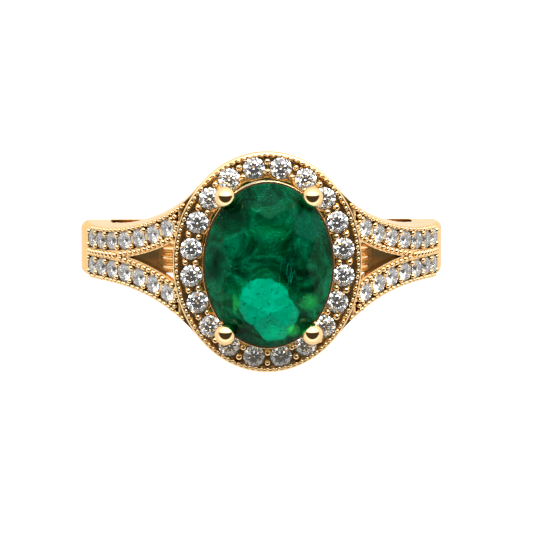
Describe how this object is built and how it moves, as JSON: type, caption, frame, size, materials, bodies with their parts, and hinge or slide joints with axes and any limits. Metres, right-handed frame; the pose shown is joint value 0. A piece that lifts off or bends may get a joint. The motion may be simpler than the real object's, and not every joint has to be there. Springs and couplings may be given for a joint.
{
  "type": "cocktail ring",
  "caption": "Split-shank cocktail ring with an oval emerald on four ball prongs, a halo of round diamonds and diamond-set shoulders",
  "frame": {"origin": "centre of the finger hole, halfway through the band", "axes": "+Y along the finger, +Z from the finger up through the head, +X across the shoulders"},
  "size_m": [0.0206, 0.0122, 0.0239],
  "materials": {
    "gold": "polished",
    "emerald": "polished",
    "diamond": "polished"
  },
  "bodies": {
    "root": {"shank": "gold", "finger_bridge": "gold", "halo_frame": "gold", "gallery_rail": "gold", "gallery_base_ring": "gold", "prong_front_left": "gold", "prong_front_right": "gold", "prong_back_left": "gold", "prong_back_right": "gold", "emerald": "emerald", "halo_diamond_1": "diamond", "halo_diamond_2": "diamond", "halo_diamond_3": "diamond", "halo_diamond_4": "diamond", "halo_diamond_5": "diamond", "halo_diamond_6": "diamond", "halo_diamond_7": "diamond", "halo_diamond_8": "diamond", "halo_diamond_9": "diamond", "halo_diamond_10": "diamond", "halo_diamond_11": "diamond", "halo_diamond_12": "diamond", "halo_diamond_13": "diamond", "halo_diamond_14": "diamond", "halo_diamond_15": "diamond", "halo_diamond_16": "diamond", "halo_diamond_17": "diamond", "halo_diamond_18": "diamond", "halo_diamond_19": "diamond", "halo_diamond_20": "diamond", "left_front_shoulder_diamond_1": "diamond", "left_front_shoulder_diamond_2": "diamond", "left_front_shoulder_diamond_3": "diamond", "left_front_shoulder_diamond_4": "diamond", "left_front_shoulder_diamond_5": "diamond", "left_front_shoulder_diamond_6": "diamond", "left_front_shoulder_diamond_7": "diamond", "left_back_shoulder_diamond_1": "diamond", "left_back_shoulder_diamond_2": "diamond", "left_back_shoulder_diamond_3": "diamond", "left_back_shoulder_diamond_4": "diamond", "left_back_shoulder_diamond_5": "diamond", "left_back_shoulder_diamond_6": "diamond", "left_back_shoulder_diamond_7": "diamond", "right_front_shoulder_diamond_1": "diamond", "right_front_shoulder_diamond_2": "diamond", "right_front_shoulder_diamond_3": "diamond", "right_front_shoulder_diamond_4": "diamond", "right_front_shoulder_diamond_5": "diamond", "right_front_shoulder_diamond_6": "diamond", "right_front_shoulder_diamond_7": "diamond", "right_back_shoulder_diamond_1": "diamond", "right_back_shoulder_diamond_2": "diamond", "right_back_shoulder_diamond_3": "diamond", "right_back_shoulder_diamond_4": "diamond", "right_back_shoulder_diamond_5": "diamond", "right_back_shoulder_diamond_6": "diamond", "right_back_shoulder_diamond_7": "diamond"}
  },
  "joints": []
}
